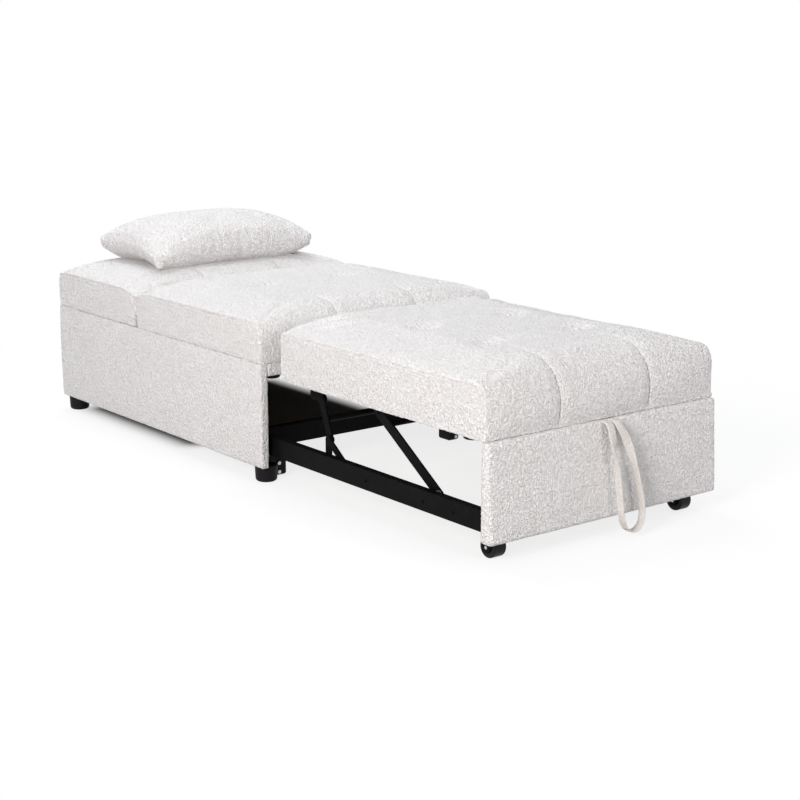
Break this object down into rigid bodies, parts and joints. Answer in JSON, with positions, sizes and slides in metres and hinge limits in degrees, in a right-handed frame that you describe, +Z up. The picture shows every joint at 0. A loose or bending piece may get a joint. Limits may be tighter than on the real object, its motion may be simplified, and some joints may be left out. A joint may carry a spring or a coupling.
{
  "type": "chair bed",
  "caption": "Upholstered chair bed opened flat: base with a tilting head section, loose pillow, and a wheeled drawer whose tufted platform rises on folding arms.",
  "frame": {"origin": "on the floor, midway between the two ends and the two sides of the opened bed, without the pull strap", "axes": "+Y towards the head end, +Z up, +X to the right seen from the foot end"},
  "size_m": [0.72, 1.848, 0.5326],
  "materials": {
    "boucle": "off-white looped boucle",
    "strap_webbing": "folded strip of the cover fabric",
    "frame_board": "raw plywood",
    "dust_cloth": "black non-woven cloth",
    "black_plastic": "moulded, fine grain",
    "black_steel": "satin black powder coat",
    "zinc": "zinc plated",
    "roller_plastic": "moulded nylon"
  },
  "bodies": {
    "base": {"side_board_left": "frame_board", "side_board_right": "frame_board", "side_cover_left": "boucle", "side_cover_right": "boucle", "back_board": "frame_board", "back_cover": "boucle", "front_rail_board": "frame_board", "front_rail_cover": "boucle", "ledges": "frame_board", "hinge_beam": "frame_board", "seat_deck": "frame_board", "bay_lining": "dust_cloth", "front_legs": "black_plastic", "rear_legs": "black_plastic", "guide_feet": "black_plastic", "guide_axles": "zinc", "guide_bolts": "zinc", "runners": "black_steel", "seat_cushion": "boucle", "lower_hinge_leaves": "zinc", "hinge_pins": "zinc"},
    "backrest": {"backrest_board": "frame_board", "head_cushion": "boucle", "upper_hinge_leaves": "zinc", "ratchet_wheels": "zinc"},
    "pillow": {"pillow": "boucle"},
    "drawer": {"drawer_rail_left": "black_steel", "drawer_rail_right": "black_steel", "rear_crossbar": "black_steel", "front_crossbar": "black_steel", "front_board": "frame_board", "front_cover": "boucle", "caster_brackets": "black_steel", "caster_axles": "zinc", "rail_roller_axles": "zinc", "rail_bolts": "black_steel", "arm_pivot_pins": "zinc", "rear_pivot_brackets": "black_steel", "pull_strap": "strap_webbing"},
    "front_arms": {"front_arms": "black_steel", "front_cross_tube": "black_steel"},
    "rear_arms": {"rear_arms": "black_steel", "rear_arm_pins": "black_steel", "rear_cross_tube": "black_steel"},
    "platform": {"platform_side_boards": "frame_board", "platform_end_boards": "frame_board", "platform_deck": "frame_board", "platform_battens": "frame_board", "arm_hangers": "black_steel", "arm_top_pins": "black_steel", "side_skirts": "boucle", "rear_skirt": "boucle", "front_skirt": "boucle", "pull_out_cushion": "boucle"},
    "caster_left": {"caster_wheel_left": "roller_plastic"},
    "caster_right": {"caster_wheel_right": "roller_plastic"},
    "guide_roller_left": {"guide_roller_left": "roller_plastic"},
    "guide_roller_right": {"guide_roller_right": "roller_plastic"},
    "rail_roller_left": {"rail_roller_left": "roller_plastic"},
    "rail_roller_right": {"rail_roller_right": "roller_plastic"}
  },
  "joints": [
    {"name": "backrest_tilt", "type": "hinge", "parent": "base", "child": "backrest", "pos_m": [0, 0.4775, 0.378], "axis": [1, 0, 0], "range_deg": [0, 75]},
    {"name": "pillow_lift", "type": "slide", "parent": "backrest", "child": "pillow", "axis": [0, 0, 1], "range_m": [0, 0.3]},
    {"name": "drawer_slide", "type": "slide", "parent": "base", "child": "drawer", "axis": [0, 1, 0], "range_m": [0, 0.04]},
    {"name": "platform_lower", "type": "hinge", "parent": "drawer", "child": "front_arms", "pos_m": [0, -0.704, 0.101], "axis": [-1, 0, 0], "range_deg": [0, 33.7]},
    {"name": "platform_level", "type": "hinge", "parent": "front_arms", "child": "platform", "pos_m": [0, -0.48603, 0.24637], "axis": [-1, 0, 0], "range_deg": [-33.7, 0]},
    {"name": "rear_arm_fold", "type": "hinge", "parent": "drawer", "child": "rear_arms", "pos_m": [0, -0.307, 0.143], "axis": [-1, 0, 0], "range_deg": [0, 103.6]},
    {"name": "caster_left_spin", "type": "hinge", "parent": "drawer", "child": "caster_left", "pos_m": [-0.279, -0.8575, 0.024], "axis": [1, 0, 0], "continuous": true},
    {"name": "guide_roller_left_spin", "type": "hinge", "parent": "base", "child": "guide_roller_left", "pos_m": [-0.316, -0.0415, 0.0537], "axis": [1, 0, 0], "continuous": true},
    {"name": "rail_roller_left_spin", "type": "hinge", "parent": "drawer", "child": "rail_roller_left", "pos_m": [-0.3305, -0.0215, 0.0725], "axis": [1, 0, 0], "continuous": true},
    {"name": "caster_right_spin", "type": "hinge", "parent": "drawer", "child": "caster_right", "pos_m": [0.279, -0.8575, 0.024], "axis": [1, 0, 0], "continuous": true},
    {"name": "guide_roller_right_spin", "type": "hinge", "parent": "base", "child": "guide_roller_right", "pos_m": [0.316, -0.0415, 0.0537], "axis": [1, 0, 0], "continuous": true},
    {"name": "rail_roller_right_spin", "type": "hinge", "parent": "drawer", "child": "rail_roller_right", "pos_m": [0.3305, -0.0215, 0.0725], "axis": [1, 0, 0], "continuous": true}
  ],
  "couplings": [
    {"joint": "platform_level", "follows": "platform_lower", "ratio": -1},
    {"joint": "rear_arm_fold", "follows": "platform_lower", "ratio": 3.0738}
  ]
}
